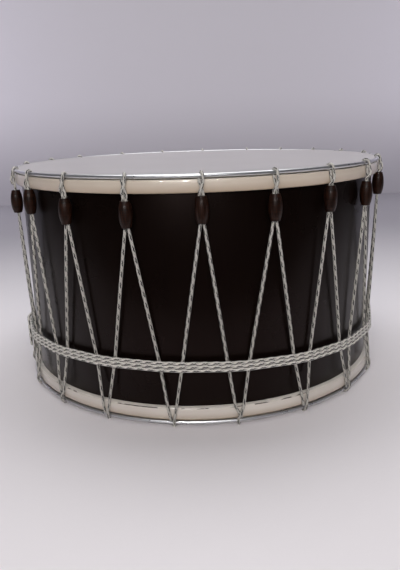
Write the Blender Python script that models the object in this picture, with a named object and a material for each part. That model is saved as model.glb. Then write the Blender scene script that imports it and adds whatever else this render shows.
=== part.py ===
"""A davul: a two-headed drum whose heads are pulled together by one zigzag cord.

Metres, +Z up. The drum stands on its lower head's ring, or rather on the cord turns under that
ring. The origin is the middle of the floor under it. Angles are in degrees round the drum: 0 is
the front (-Y) and they grow towards +X.

Heights at either end of the drum are given as a reach: how far a point lies beyond the hoop's
inner edge, towards the nearer end. Sideways places are lengths along the hoop's outer face.
"""

import math

import bmesh
import bpy
import numpy as np

# Driving dimensions
FIT_GAP = 0.0003  # between pieces that touch
SHELL_RADIUS = 0.254  # a 20-inch shell
SHELL_WALL = 0.007
SHELL_EDGE_BEVEL = 0.0025  # inside of the bearing edge
HOOP_SPAN = 0.2872  # between the outward faces of the two wooden hoops
HOOP_HEIGHT = 0.015
HOOP_THICKNESS = 0.0077
HOOP_EDGE = 0.0015
RING_DIAMETER = 0.0046
RING_LIFT = 0.0014  # gap between hoop and metal ring, where the cord passes
RING_OVERHANG = 0.001  # how far the ring stands out past the hoop
FILM_THICKNESS = 0.0004
FILM_DROP = 0.00075  # film's outer face below the outermost side of the ring
CORD_DIAMETER = 0.004
SQUEEZED_RADIUS = 0.0016  # where the cord is pressed against something
THROUGH_FILM_RADIUS = 0.001
SLOT_CLEARANCE = 0.0003  # round the cord, where it passes the film's rim
IN_GAP_RADIUS = 0.0005
CORD_GAP = 0.00105  # between a strand and the strand that crosses it
FOOT_CUT = CORD_DIAMETER / 10
BEAD_LENGTH = 0.0305
BEAD_DIAMETER = 0.016
BEAD_END_DIAMETER = 0.0108
BEAD_BORE = 0.0078
STRANDS_APART_IN_BEAD = 0.0038
V_HALF_WIDTH = 0.0048  # half the distance between the strands where they reach the lower hoop
UPPER_LEAN = 0.002  # how far past the middle each strand crosses at the upper ring
WAIST_HEIGHT = 0.0749  # middle of the waist cord
WAIST_WAVE = 0.0055  # it rises and falls this much, twice round the drum
WAIST_WAVE_ANGLE = -18
WAIST_TURNS = 3
WAIST_PITCH = 0.00445
STRAND_OFF_SHELL = 0.0024  # gap between shell and strands where the waist cord pulls them in

# Counts and angles
BEAD_ANGLES = (
    -95, -69.5, -53, -36, -17.7, 1, 19.2, 36.3, 54.4, 75,
    96, 112, 127.5, 143, 158, 177, 194, 211.5, 231.5, 247,
)
V_ANGLES = (
    -82, -62.5, -45, -27.4, -8.3, 9.4, 28.6, 46.7, 64.7, 85.5,
    104, 120, 135, 150.5, 167.5, 185.5, 203, 221.5, 239,
)  # between each bead and the next
TIE_V_ANGLE = -104  # the V that holds the lacing's two ends
FACETS = 120
RING_SIDES = 8
BEAD_FACETS = 10
BEAD_STATIONS = (-1, -0.55, 0, 0.55, 1)
BEAD_ROUNDNESS = 2.2
TIE_ANGLE = V_ANGLES[0]  # where the waist cord is tied, in the middle of a V
BEAD_DROPS_MM = (
    3.5, 7.5, 0.5, 6.5, 7.0, 2.5, 4.5, 1.5, 4.0, 1.0,
    2.0, 5.0, 3.5, 1.5, 6.0, 2.0, 4.0, 3.0, 5.5, 2.5,
)  # from the upper hoop to each bead, all pushed up to their slack end but unevenly
LOWER_LEANS_MM = (
    1.4, 1.6, 1.2, 2.8, 2.1, -2.2, 1.2, 1.0, 1.6, 2.2,
    -1.2, 1.8, 1.1, 2.4, -2.4, 1.5, 1.9, -1.2, 2.6,
)  # of each V's two strands from its middle at the lower ring; below 0 the two have crossed

# Worked out from the dimensions above
CORD_RADIUS = CORD_DIAMETER / 2
STRAND_RADIUS_AT_WAIST = SHELL_RADIUS + STRAND_OFF_SHELL + CORD_RADIUS
BEAD_COUNT = len(BEAD_ANGLES)
HOOP_INNER = SHELL_RADIUS + FIT_GAP
HOOP_OUTER = HOOP_INNER + HOOP_THICKNESS
RING_RADIUS = RING_DIAMETER / 2
RING_CENTRE = HOOP_OUTER + RING_OVERHANG - RING_RADIUS
RING_REACH = HOOP_HEIGHT + RING_LIFT + RING_RADIUS
FILM_REACH = RING_REACH + RING_RADIUS - FILM_DROP
SHELL_REACH = FILM_REACH - FILM_THICKNESS - FIT_GAP
LOWEST_CORD_CENTRE = SQUEEZED_RADIUS - FOOT_CUT
WRAP_CLEARANCE = 0.00015
WRAP_TURN = 45  # degrees from one point of the cord to the next, round a ring
WRAP_SCALE = 1 / math.cos(math.radians(WRAP_TURN / 2))
WRAP_RADII = (SQUEEZED_RADIUS, SQUEEZED_RADIUS, SQUEEZED_RADIUS, 0.0013, THROUGH_FILM_RADIUS)
WRAP_SHARE = 0.85  # of the sideways shift is made by the time the cord enters the gap
OVER_RING = (RING_RADIUS + SQUEEZED_RADIUS + WRAP_CLEARANCE) * WRAP_SCALE
MIDDLE = LOWEST_CORD_CENTRE + OVER_RING + RING_REACH + HOOP_SPAN / 2 - HOOP_HEIGHT
EDGE_HEIGHT = HOOP_SPAN / 2 - HOOP_HEIGHT  # of a hoop's inner edge, from the drum's middle
PRESSED_ON_HOOP = HOOP_OUTER + FIT_GAP + SQUEEZED_RADIUS
UPPER, LOWER = 1, -1


def height(end, reach):
    return MIDDLE + end * (EDGE_HEIGHT + reach)


def place(angle, side, radius, z):
    """The point at this angle, moved sideways along the hoop's face."""
    turn = math.radians(angle) + side / HOOP_OUTER
    return (radius * math.sin(turn), -radius * math.cos(turn), z)


def material(name, colour, roughness, metallic=0.0):
    made = bpy.data.materials.new(name)
    made.use_nodes = True
    shader = made.node_tree.nodes["Principled BSDF"]
    shader.inputs["Base Color"].default_value = (*colour, 1)
    shader.inputs["Roughness"].default_value = roughness
    shader.inputs["Metallic"].default_value = metallic
    made.diffuse_color = (*colour, 1)
    return made


def add_object(name, data, finish):
    made = bpy.data.objects.new(name, data)
    bpy.context.scene.collection.objects.link(made)
    if not data.materials:
        data.materials.append(finish)
    return made


def turned_mesh(name, profile):
    """A closed outline of (radius, height), which runs down its outer side."""
    mesh = bpy.data.meshes.new(name)
    corners = [(radius, 0, z) for radius, z in profile]
    mesh.from_pydata(corners, [(i, (i + 1) % len(corners)) for i in range(len(corners))], [])
    return mesh


def turn(obj, facets):
    """Turns the outline once round Z."""
    screw = obj.modifiers.new("turned", "SCREW")
    screw.steps = screw.render_steps = facets
    screw.use_merge_vertices = True
    screw.merge_threshold = 0.0001
    screw.use_smooth_shade = True
    return obj


def add_turned(name, profile, finish):
    """A piece turned round the drum's axis."""
    return turn(add_object(name, turned_mesh(name, profile), finish), FACETS)


def add_shell(finish):
    top, bottom = height(UPPER, SHELL_REACH), height(LOWER, SHELL_REACH)
    inner = SHELL_RADIUS - SHELL_WALL
    crest = inner + SHELL_EDGE_BEVEL
    return add_turned(
        "shell",
        (
            (SHELL_RADIUS, top),
            (SHELL_RADIUS, bottom),
            (crest, bottom),
            (inner, bottom + SHELL_EDGE_BEVEL),
            (inner, top - SHELL_EDGE_BEVEL),
            (crest, top),
        ),
        finish,
    )


def add_hoop(name, end, finish):
    low, high = sorted((height(end, 0), height(end, HOOP_HEIGHT)))
    return add_turned(
        name,
        (
            (HOOP_OUTER - HOOP_EDGE, high),
            (HOOP_OUTER, high - HOOP_EDGE),
            (HOOP_OUTER, low + HOOP_EDGE),
            (HOOP_OUTER - HOOP_EDGE, low),
            (HOOP_INNER, low),
            (HOOP_INNER, high),
        ),
        finish,
    )


def add_ring(name, end, finish):
    centre = height(end, RING_REACH)
    turns = [math.pi / 2 - math.tau * i / RING_SIDES for i in range(RING_SIDES)]
    return add_turned(
        name,
        [
            (RING_CENTRE + RING_RADIUS * math.cos(t), centre + RING_RADIUS * math.sin(t))
            for t in turns
        ],
        finish,
    )


def film_radius():
    """The film ends beside the ring, where its inner face is nearest the ring's middle."""
    off_centre = RING_RADIUS - FILM_DROP - FILM_THICKNESS
    return RING_CENTRE - math.sqrt(RING_RADIUS**2 - off_centre**2) - FIT_GAP


def film_outline(end):
    """The film's rim, with a slot at each turn of the cord."""
    radius = film_radius()
    _, passing, thickness = at_film()
    half_width = thickness + SLOT_CLEARANCE
    floor = passing - half_width
    slots = sorted(slot_angles(end))
    rim = []
    for slot, following in zip(slots, [*slots[1:], slots[0] + 360]):
        rim += [
            place(slot, -half_width, radius, 0),
            place(slot, -half_width, floor, 0),
            place(slot, half_width, floor, 0),
            place(slot, half_width, radius, 0),
        ]
        pieces = max(1, round((following - slot) * FACETS / 540))
        rim += [place(slot + (following - slot) * j / pieces, 0, radius, 0) for j in range(1, pieces)]
    return rim


def add_head(name, end, finish):
    low, _ = sorted((height(end, FILM_REACH), height(end, FILM_REACH - FILM_THICKNESS)))
    shape = bmesh.new()
    face = shape.faces.new([shape.verts.new(corner) for corner in film_outline(end)])
    raised = bmesh.ops.extrude_face_region(shape, geom=[face])["geom"]
    corners = [part for part in raised if isinstance(part, bmesh.types.BMVert)]
    bmesh.ops.translate(shape, verts=corners, vec=(0, 0, FILM_THICKNESS))
    bmesh.ops.translate(shape, verts=shape.verts, vec=(0, 0, low))
    bmesh.ops.recalc_face_normals(shape, faces=shape.faces)
    mesh = bpy.data.meshes.new(name)
    shape.to_mesh(mesh)
    shape.free()
    return add_object(name, mesh, finish)


def bead_profile():
    """A barrel with a straight bore."""
    middle, end, bore = BEAD_DIAMETER / 2, BEAD_END_DIAMETER / 2, BEAD_BORE / 2
    outside = [
        (middle - (middle - end) * abs(s) ** BEAD_ROUNDNESS, -s * BEAD_LENGTH / 2)
        for s in BEAD_STATIONS
    ]
    return [*outside, (bore, -BEAD_LENGTH / 2), (bore, BEAD_LENGTH / 2)]


def v_angle(i):
    """The middle of the V between bead i and the next; the tie's V comes before bead 0."""
    if i < 0:
        return TIE_V_ANGLE
    return V_ANGLES[i] if i < len(V_ANGLES) else TIE_V_ANGLE + 360


def bead_top(i):
    return height(UPPER, -BEAD_DROPS_MM[i] / 1000)


def bead_radius():
    """Beads ride on the strands, which lean in a little towards the waist cord."""
    lean = (PRESSED_ON_HOOP - STRAND_RADIUS_AT_WAIST) / (height(UPPER, 0) - WAIST_HEIGHT)
    return PRESSED_ON_HOOP - lean * BEAD_LENGTH / 2


def add_beads(finish):
    mesh = turned_mesh("bead", bead_profile())
    for i in range(BEAD_COUNT):
        bead = turn(add_object(f"bead_{i + 1:02d}", mesh, finish), BEAD_FACETS)
        bead.location = place(BEAD_ANGLES[i], 0, bead_radius(), bead_top(i) - BEAD_LENGTH / 2)
        bead.rotation_euler.z = math.radians(BEAD_ANGLES[i])


def wrap_point(i):
    """Point i of the cord's way round a ring: sideways share, radius, reach and cord radius."""
    radius, turned = WRAP_RADII[i], math.radians(WRAP_TURN * i)
    off = (RING_RADIUS + radius + WRAP_CLEARANCE) * WRAP_SCALE
    share = WRAP_SHARE * i / len(WRAP_RADII)
    return share, RING_CENTRE + off * math.cos(turned), RING_REACH + off * math.sin(turned), radius


def at_film():
    """Where the cord passes the film: sideways share, radius and cord radius."""
    above, below = wrap_point(3), wrap_point(4)
    mix = (above[2] - FILM_REACH + FILM_THICKNESS / 2) / (above[2] - below[2])
    share, out, _, radius = (a + (b - a) * mix for a, b in zip(above, below))
    return share, out, radius


def loop_round_ring(end, angle, front, back, stations):
    """One turn of the lacing round a ring, as (point, radius) pairs.

    front and back each give a strand's side at the hoop's inner edge and at the ring. The front
    strand runs over the hoop, round the ring's outer side, past the film's rim through its slot,
    and out through the gap between ring and hoop as the back strand. Where the two cross on the
    hoop's face, the front one rides over the back one. A station is a share of the hoop's height
    and how far the front strand has moved there from its first side to its second.
    """
    last = stations[-1][0]
    over_ring = RING_CENTRE + OVER_RING
    points = []
    for rise_share, share in stations:
        across = front[0] + (front[1] - front[0]) * share
        apart = across - (back[0] + (back[1] - back[0]) * rise_share / last)
        rise = math.sqrt(max(0, (2 * SQUEEZED_RADIUS + CORD_GAP) ** 2 - apart**2)) if share else 0
        out = PRESSED_ON_HOOP + rise
        if share > 0.5:
            out = max(out, over_ring + SQUEEZED_RADIUS / 2)
        reach = HOOP_HEIGHT * rise_share
        points.append((place(angle, across, out, height(end, reach)), SQUEEZED_RADIUS))
    for i in range(len(WRAP_RADII)):
        share, out, reach, radius = wrap_point(i)
        across = front[1] + (back[1] - front[1]) * share
        points.append((place(angle, across, out, height(end, reach)), radius))
    in_gap = height(end, HOOP_HEIGHT + RING_LIFT / 2)
    turn_in = RING_CENTRE - RING_RADIUS + FIT_GAP
    across = front[1] + (back[1] - front[1]) * WRAP_SHARE
    points.append((place(angle, across, turn_in, in_gap), IN_GAP_RADIUS))
    points.append((place(angle, back[1], HOOP_OUTER + CORD_RADIUS, in_gap), IN_GAP_RADIUS))
    leaving = height(end, HOOP_HEIGHT * last)
    points.append((place(angle, back[1], PRESSED_ON_HOOP, leaving), SQUEEZED_RADIUS))
    points.append((place(angle, back[0], PRESSED_ON_HOOP, height(end, 0)), SQUEEZED_RADIUS))
    return points


UPPER_STATIONS = ((0, 0), (0.08, 0.01), (0.167, 0.12), (0.367, 0.45), (0.6, 0.77), (0.9, 1))
LOWER_STATIONS = ((0, 0), (0.367, 0.41), (0.533, 0.59), (0.7, 0.78), (0.9, 1))
TIE_STATIONS = ((0, 0), (0.9, 1))
TIE_FOOT, TIE_RING = 0.007, 0.0085  # the two strands of the V that holds the lacing's ends
TAIL_FOOT, TAIL_RING = 0.0026, 0.0042
TAIL_RISE = 0.020


def upper_loop(i):
    half = STRANDS_APART_IN_BEAD / 2
    front, back = (-half, UPPER_LEAN), (half, -UPPER_LEAN)
    return loop_round_ring(UPPER, BEAD_ANGLES[i], front, back, UPPER_STATIONS)


def lower_loop(i):
    """The loop between bead i and the next, from the strand that comes down to the one going up."""
    lean = LOWER_LEANS_MM[i] / 1000
    front, back = (V_HALF_WIDTH, lean), (-V_HALF_WIDTH, -lean)
    return loop_round_ring(LOWER, v_angle(i), front, back, LOWER_STATIONS)[::-1]


def tail(side):
    """An end of the lacing, lying up against the shell."""
    radius = SHELL_RADIUS + FIT_GAP + CORD_RADIUS
    return (place(TIE_V_ANGLE, side, radius, height(LOWER, -TAIL_RISE)), CORD_RADIUS)


def first_loop():
    front, back = (TIE_FOOT, TIE_RING), (TAIL_FOOT, TAIL_RING)
    points = loop_round_ring(LOWER, TIE_V_ANGLE, front, back, TIE_STATIONS)
    return [tail(TAIL_FOOT), *points[::-1]]


def last_loop():
    front, back = (-TAIL_FOOT, -TAIL_RING), (-TIE_FOOT, -TIE_RING)
    points = loop_round_ring(LOWER, TIE_V_ANGLE, front, back, TIE_STATIONS)
    return [*points[::-1], tail(-TAIL_FOOT)]


def slot_angles(end):
    """Where the cord passes the film."""
    share, _, _ = at_film()
    if end == UPPER:
        places = [(angle, UPPER_LEAN * (1 - 2 * share)) for angle in BEAD_ANGLES]
    else:
        leans = [lean / 1000 * (1 - 2 * share) for lean in LOWER_LEANS_MM]
        places = [*zip(V_ANGLES, leans)]
        places.append((TIE_V_ANGLE, -TAIL_RING + (TAIL_RING - TIE_RING) * share))
        places.append((TIE_V_ANGLE, TIE_RING + (TAIL_RING - TIE_RING) * share))
    return [angle + math.degrees(side / HOOP_OUTER) for angle, side in places]


def waist_height(angle):
    return WAIST_HEIGHT + WAIST_WAVE * math.cos(math.radians(2 * (angle - WAIST_WAVE_ANGLE)))


def strand_radius(z, waist):
    """How far out a strand runs: straight from either hoop to where the waist cord pulls it in."""
    hoop = height(UPPER if z > waist else LOWER, 0)
    lean = (PRESSED_ON_HOOP - STRAND_RADIUS_AT_WAIST) / (hoop - waist)
    return STRAND_RADIUS_AT_WAIST + lean * (z - waist)


def strand_ends(i, sense, foot):
    """Angle and height of a strand at bead i and at the V's hoop; sense is +1 for the V after it."""
    inside = math.degrees(STRANDS_APART_IN_BEAD / 2 / HOOP_OUTER)
    top = (BEAD_ANGLES[i] + sense * inside, bead_top(i) - BEAD_LENGTH)
    v = v_angle(i if sense > 0 else i - 1)
    bottom = (v - sense * math.degrees(foot / HOOP_OUTER), height(LOWER, 0))
    return top, bottom


def waist_crossing(i, sense):
    """Angle and height where a strand of bead i passes behind the waist cord."""
    at_end = (i == 0 and sense < 0) or (i == BEAD_COUNT - 1 and sense > 0)
    top, bottom = strand_ends(i, sense, TIE_FOOT if at_end else V_HALF_WIDTH)
    angle = top[0]
    for _ in range(3):
        waist = waist_height(angle)
        angle = bottom[0] + (top[0] - bottom[0]) * (waist - bottom[1]) / (top[1] - bottom[1])
    return angle, waist


def strand(i, sense):
    """The two points of a strand between bead i and a V: at the waist cord and under the bead."""
    angle, waist = waist_crossing(i, sense)
    top, _ = strand_ends(i, sense, V_HALF_WIDTH)
    return [
        (place(angle, 0, STRAND_RADIUS_AT_WAIST, waist), CORD_RADIUS),
        (place(top[0], 0, strand_radius(top[1], waist), top[1]), SQUEEZED_RADIUS),
    ]


def lacing_route():
    route = first_loop()
    for i in range(BEAD_COUNT):
        route += strand(i, -1) + upper_loop(i) + strand(i, 1)[::-1]
        route += lower_loop(i) if i < BEAD_COUNT - 1 else last_loop()
    return route


def waist_turns():
    """The turns of the waist cord, with a point wherever it presses on a strand."""
    crossings = sorted(
        waist_crossing(i, sense) for i in range(BEAD_COUNT) for sense in (-1, 1)
    )
    after = [(angle if angle > TIE_ANGLE else angle + 360, z) for angle, z in crossings]
    route = []
    for lap in range(WAIST_TURNS):
        for angle, middle in sorted(after):
            turned = lap + (angle - TIE_ANGLE) / 360
            z = middle + (turned - WAIST_TURNS / 2) * WAIST_PITCH
            radius = strand_radius(z, middle) + 2 * CORD_RADIUS + FIT_GAP
            route.append((place(angle, 0, radius, z), CORD_RADIUS))
    return route


def waist_route():
    """Three turns, tied: the end goes once round all the turns and hangs beside the start."""
    middle = waist_height(TIE_ANGLE)
    on = STRAND_RADIUS_AT_WAIST + CORD_DIAMETER + 2 * FIT_GAP
    front, behind = on + CORD_DIAMETER + 2 * FIT_GAP, on - CORD_DIAMETER - 4 * FIT_GAP
    band = WAIST_TURNS / 2 * WAIST_PITCH

    def at(side, rise, radius):
        """A point near the knot, with both lengths in cord diameters."""
        z = middle + rise * CORD_DIAMETER
        return (place(TIE_ANGLE, side * CORD_DIAMETER, radius, z), CORD_RADIUS)

    band /= CORD_DIAMETER
    start = [
        at(-2.0, -9.5, front),
        at(-2.38, -6.0, front),
        at(-2.5, -3.5, front - 0.375 * CORD_DIAMETER),
        at(-2.0, -band - 0.55, on + CORD_DIAMETER / 4),
        at(-1.0, -band - 0.08, on),
        at(0.75, -band - 0.04, on),
    ]
    end = [
        at(-1.5, band, on),
        at(-0.62, band - 0.08, on + 0.45 * CORD_DIAMETER),
        at(-0.25, band - 0.75, front),
        at(-0.12, -band - 0.45, front),
        at(0.0, -band - 1.25, on + 0.55 * CORD_DIAMETER),
        at(0.15, -band - 1.5, on - 0.45 * CORD_DIAMETER),
        at(0.35, -band - 0.4, behind),
        at(0.8, band - 0.5, behind),
        at(1.0, band + 0.25, on - CORD_DIAMETER / 2),
        at(1.15, band + 0.2, on + CORD_DIAMETER / 2),
        at(1.25, band - 0.75, front),
        at(1.3, -band - 0.5, front),
        at(1.4, -6.0, front),
        at(1.15, -10.5, front),
    ]
    return start + waist_turns() + end


def cord_curve(name, route):
    curve = bpy.data.curves.new(name, "CURVE")
    curve.dimensions = "3D"
    curve.bevel_depth = CORD_RADIUS
    curve.bevel_resolution = 1
    curve.use_fill_caps = True
    spline = curve.splines.new("POLY")
    spline.points.add(len(route) - 1)
    for point, (corner, radius) in zip(spline.points, route):
        point.co = (*corner, 1)
        point.radius = radius / CORD_RADIUS
    spline.use_smooth = True
    return curve


def cut_at_floor(mesh):
    """Cuts the cord flat where the drum stands on it."""
    shape = bmesh.new()
    shape.from_mesh(mesh)
    bmesh.ops.remove_doubles(shape, verts=shape.verts, dist=1e-6)
    everything = [*shape.verts, *shape.edges, *shape.faces]
    cut = bmesh.ops.bisect_plane(
        shape, geom=everything, plane_co=(0, 0, 0), plane_no=(0, 0, 1), clear_inner=True
    )
    edges = [part for part in cut["geom_cut"] if isinstance(part, bmesh.types.BMEdge)]
    bmesh.ops.holes_fill(shape, edges=edges)
    bmesh.ops.recalc_face_normals(shape, faces=shape.faces)
    shape.to_mesh(mesh)
    shape.free()


def add_lacing(finish):
    guide = bpy.data.objects.new("lacing_route", cord_curve("lacing_route", lacing_route()))
    bpy.context.scene.collection.objects.link(guide)
    mesh = bpy.data.meshes.new_from_object(guide.evaluated_get(bpy.context.evaluated_depsgraph_get()))
    bpy.data.objects.remove(guide)
    mesh.name = "lacing_cord"
    cut_at_floor(mesh)
    mesh.shade_smooth()
    return add_object("lacing_cord", mesh, finish)


def least_gap(route, near=4):
    """The least distance of a cord's surface from itself, on points along it, in millimetres."""
    samples, radii, along = [], [], []
    travelled = 0.0
    for (a, ra), (b, rb) in zip(route, route[1:]):
        a, b = np.array(a), np.array(b)
        length = np.linalg.norm(b - a)
        count = max(2, int(length / 0.0005))
        for share in np.linspace(0, 1, count, endpoint=False):
            samples.append(a + (b - a) * share)
            radii.append(ra + (rb - ra) * share)
            along.append(travelled + length * share)
        travelled += length
    samples, radii, along = np.array(samples), np.array(radii), np.array(along)
    least = math.inf
    for i in range(0, len(samples), 2):
        ahead = np.nonzero(along > along[i] + near * CORD_DIAMETER)[0]
        if len(ahead):
            apart = np.linalg.norm(samples[ahead] - samples[i], axis=1) - radii[ahead] - radii[i]
            least = min(least, apart.min())
    return 1000 * least


def main():
    for obj in list(bpy.data.objects):
        bpy.data.objects.remove(obj)
    ivory = material("ivory_lacquer", (0.62, 0.58, 0.50), 0.35)
    metal = material("aluminium", (0.78, 0.79, 0.81), 0.3, 1.0)
    film = material("drumhead_film", (0.62, 0.62, 0.64), 0.5)
    lace = material("braided_cord", (0.62, 0.62, 0.60), 0.8)
    waist = material("waist_cord", (0.60, 0.59, 0.55), 0.8)
    add_shell(material("dark_lacquer", (0.025, 0.018, 0.018), 0.45))
    add_hoop("upper_hoop", UPPER, ivory)
    add_hoop("lower_hoop", LOWER, ivory)
    add_ring("upper_ring", UPPER, metal)
    add_ring("lower_ring", LOWER, metal)
    add_head("upper_head", UPPER, film)
    add_head("lower_head", LOWER, film)
    add_beads(material("dark_wood", (0.045, 0.02, 0.014), 0.4))
    add_lacing(lace)
    add_object("waist_cord", cord_curve("waist_cord", waist_route()), waist)
    lower_gap = min(least_gap(lower_loop(i)) for i in range(BEAD_COUNT - 1))
    print(f"least gap in a lower loop: {lower_gap:.2f} mm")
    print(f"least gap in an upper loop: {least_gap(upper_loop(0)):.2f} mm")
    print(f"least gap in the waist cord: {least_gap(waist_route()):.2f} mm")


main()
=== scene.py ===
# %% [markdown]
# # A davul, the big two-headed drum
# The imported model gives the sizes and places. This script loads it as a fixed frame, then makes
# each piece again in its full shape and finish: a lacquered shell, two ivory hoops, two metal
# rings, two film heads, twenty wooden beads and the cord that pulls the heads together.

# %% Load the frame
import math

import bmesh
import bpy
import numpy as np
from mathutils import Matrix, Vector


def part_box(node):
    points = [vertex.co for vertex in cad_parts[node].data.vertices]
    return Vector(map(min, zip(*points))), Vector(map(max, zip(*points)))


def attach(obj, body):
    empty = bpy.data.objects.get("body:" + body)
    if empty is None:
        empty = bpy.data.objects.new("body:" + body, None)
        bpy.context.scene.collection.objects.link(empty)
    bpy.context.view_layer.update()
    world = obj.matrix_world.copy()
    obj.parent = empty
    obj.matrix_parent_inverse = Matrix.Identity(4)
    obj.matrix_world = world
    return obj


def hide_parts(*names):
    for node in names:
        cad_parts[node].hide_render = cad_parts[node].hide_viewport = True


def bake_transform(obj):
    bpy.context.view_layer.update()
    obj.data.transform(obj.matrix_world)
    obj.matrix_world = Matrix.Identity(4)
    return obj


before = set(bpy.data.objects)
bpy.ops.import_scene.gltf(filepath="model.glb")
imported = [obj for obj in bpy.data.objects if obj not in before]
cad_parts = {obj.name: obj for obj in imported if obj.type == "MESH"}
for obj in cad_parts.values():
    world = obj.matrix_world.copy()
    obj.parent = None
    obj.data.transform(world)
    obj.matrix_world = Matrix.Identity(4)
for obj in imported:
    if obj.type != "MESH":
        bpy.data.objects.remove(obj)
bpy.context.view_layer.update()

# %% [markdown]
# ## The camera
# The photograph was taken from just above the upper head, tipped down by about fifteen degrees
# and held a little crooked. Its place and lens come from the ellipses of the two hoops, so they
# are typed in and not tuned by eye. The lens was found in pixels of the frame's height.

# %% Camera
LENS_PIXELS, FRAME_PIXELS, SENSOR_MM = 590.65, 570, 36
LENS_MM = LENS_PIXELS / FRAME_PIXELS * SENSOR_MM
CAMERA_PLACE = (0, -0.9046, 0.3565)
TILT_DOWN, CROOKED = 0.2705, -0.0325
camera = bpy.data.objects.new("camera", bpy.data.cameras.new("camera"))
bpy.context.scene.collection.objects.link(camera)
camera.data.lens, camera.data.sensor_width, camera.data.clip_start = LENS_MM, SENSOR_MM, 0.05
camera.location = CAMERA_PLACE
camera.rotation_euler = (math.pi / 2 - TILT_DOWN, 0, 0)
camera.rotation_euler.rotate_axis("Z", CROOKED)
bpy.context.scene.camera = camera
print("lens", round(LENS_MM, 2), "mm")

# %% [markdown]
# ## Sizes that the pieces share
# Heights are read from the solids. The radii are typed in, because a faceted solid's box is a
# little smaller than the round thing. Each end of the drum mirrors the other, so a height is
# given as a reach: how far it lies beyond the hoop's inner edge.

# %% Shared sizes
UPPER, LOWER = 1, -1
SHELL_RADIUS = 0.254
HOOP_OUTER = 0.262
HOOP_HEIGHT = 0.015
RING_RADIUS = 0.0023  # half the rod's thickness
RING_CENTRE = 0.2607  # from the drum's axis to the middle of the rod
RING_REACH = 0.0187
CORD_RADIUS = 0.002
PRESSED_RADIUS = 0.0016  # where the cord is squeezed, on a hoop or in a bead
IN_GAP = 0.0005  # where it passes between a ring and a hoop
GAP = 0.0003  # between pieces that touch
ON_HOOP = HOOP_OUTER + GAP + PRESSED_RADIUS
UPPER_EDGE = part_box("upper_hoop")[0].z
LOWER_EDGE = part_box("lower_hoop")[1].z


def span(node):
    """The lowest and the highest z of a solid."""
    low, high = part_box(node)
    return low.z, high.z


def height(end, reach):
    return UPPER_EDGE + reach if end == UPPER else LOWER_EDGE - reach


print("hoops' inner edges at", round(LOWER_EDGE, 4), "and", round(UPPER_EDGE, 4), "m")

# %% [markdown]
# ## Angles round the drum
# The drum was laced by hand, so its beads and the Vs between them aren't evenly spaced. Angles
# are in degrees from the front, and grow to the right. The twentieth V is where the cord starts
# and ends. It is at the back left, before the first bead.

# %% Angles
BEADS = [f"bead_{i:02d}" for i in range(1, 21)]
BEAD_ANGLES = (
    -95, -69.5, -53, -36, -17.7, 1, 19.2, 36.3, 54.4, 75,
    96, 112, 127.5, 143, 158, 177, 194, 211.5, 231.5, 247,
)
V_ANGLES = (
    -82, -62.5, -45, -27.4, -8.3, 9.4, 28.6, 46.7, 64.7, 85.5,
    104, 120, 135, 150.5, 167.5, 185.5, 203, 221.5, 239,
)
TIE_V_ANGLE = -104


def place(angle, side, radius, z):
    """A point at an angle round the drum (0 is the front), moved sideways along the hoop."""
    turn = math.radians(angle) + side / HOOP_OUTER
    return (radius * math.sin(turn), -radius * math.cos(turn), z)


def v_angle(i):
    """The middle of the V between bead i and the next; the tie's V comes before bead 0."""
    if i < 0:
        return TIE_V_ANGLE
    return V_ANGLES[i] if i < len(V_ANGLES) else TIE_V_ANGLE + 360


print("beads", len(BEADS), "and Vs", len(V_ANGLES) + 1)

# %% [markdown]
# ## Helpers for materials
# Colours are written as they look on screen, in hex, and one function turns them to the linear
# values that a shader needs. Another adds a node of any kind, with its settings and its links.

# %% Material helpers
SHARE, FIRST, SECOND = 0, 6, 7  # the inputs of a Mix node that mixes colours


def rgb(code):
    """An sRGB hex colour as linear red, green, blue and alpha."""
    shares = [int(code[i : i + 2], 16) / 255 for i in (1, 3, 5)]
    return (*[c / 12.92 if c <= 0.04045 else ((c + 0.055) / 1.055) ** 2.4 for c in shares], 1)


def new_finish(name, **sockets):
    finish = bpy.data.materials.new(name)
    finish.use_nodes = True
    shader = finish.node_tree.nodes["Principled BSDF"]
    for socket, value in sockets.items():
        shader.inputs[socket.replace("_", " ")].default_value = value
    finish.diffuse_color = shader.inputs["Base Color"].default_value
    return finish, shader


def add(finish, kind, inputs=(), output=0, **settings):
    """Adds a node and gives one of its outputs, the first unless another is asked for.

    An input's value is a number, a colour or the socket it is linked to.
    """
    node = finish.node_tree.nodes.new("ShaderNode" + kind)
    for name, value in settings.items():
        setattr(node, name, value)
    for socket, value in dict(inputs).items():
        if isinstance(value, bpy.types.NodeSocket):
            finish.node_tree.links.new(value, node.inputs[socket])
        else:
            node.inputs[socket].default_value = value
    mixes_colours = kind == "Mix" and node.data_type == "RGBA"
    return node.outputs[2 if mixes_colours else output]


def link(finish, output, shader, socket):
    finish.node_tree.links.new(output, shader.inputs[socket])


# %% [markdown]
# ## Shell lacquer
# The shell is bent plywood under a near-black brown lacquer, rubbed to a satin sheen. Such
# lacquer gives the eye three things: a very dark brown with a breath of red, upright grain that
# only shows in the gloss, and soft smudges where hands and straps have rubbed it. Its gloss is
# tinted brown, so that only the edges, seen at a low angle, turn pale. The lacquer stops at the
# hoops, and bare plywood shows past them. The streaks of grain are about 2.4 mm wide and 55 mm
# long, and a smudge is about 70 mm across.

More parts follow.
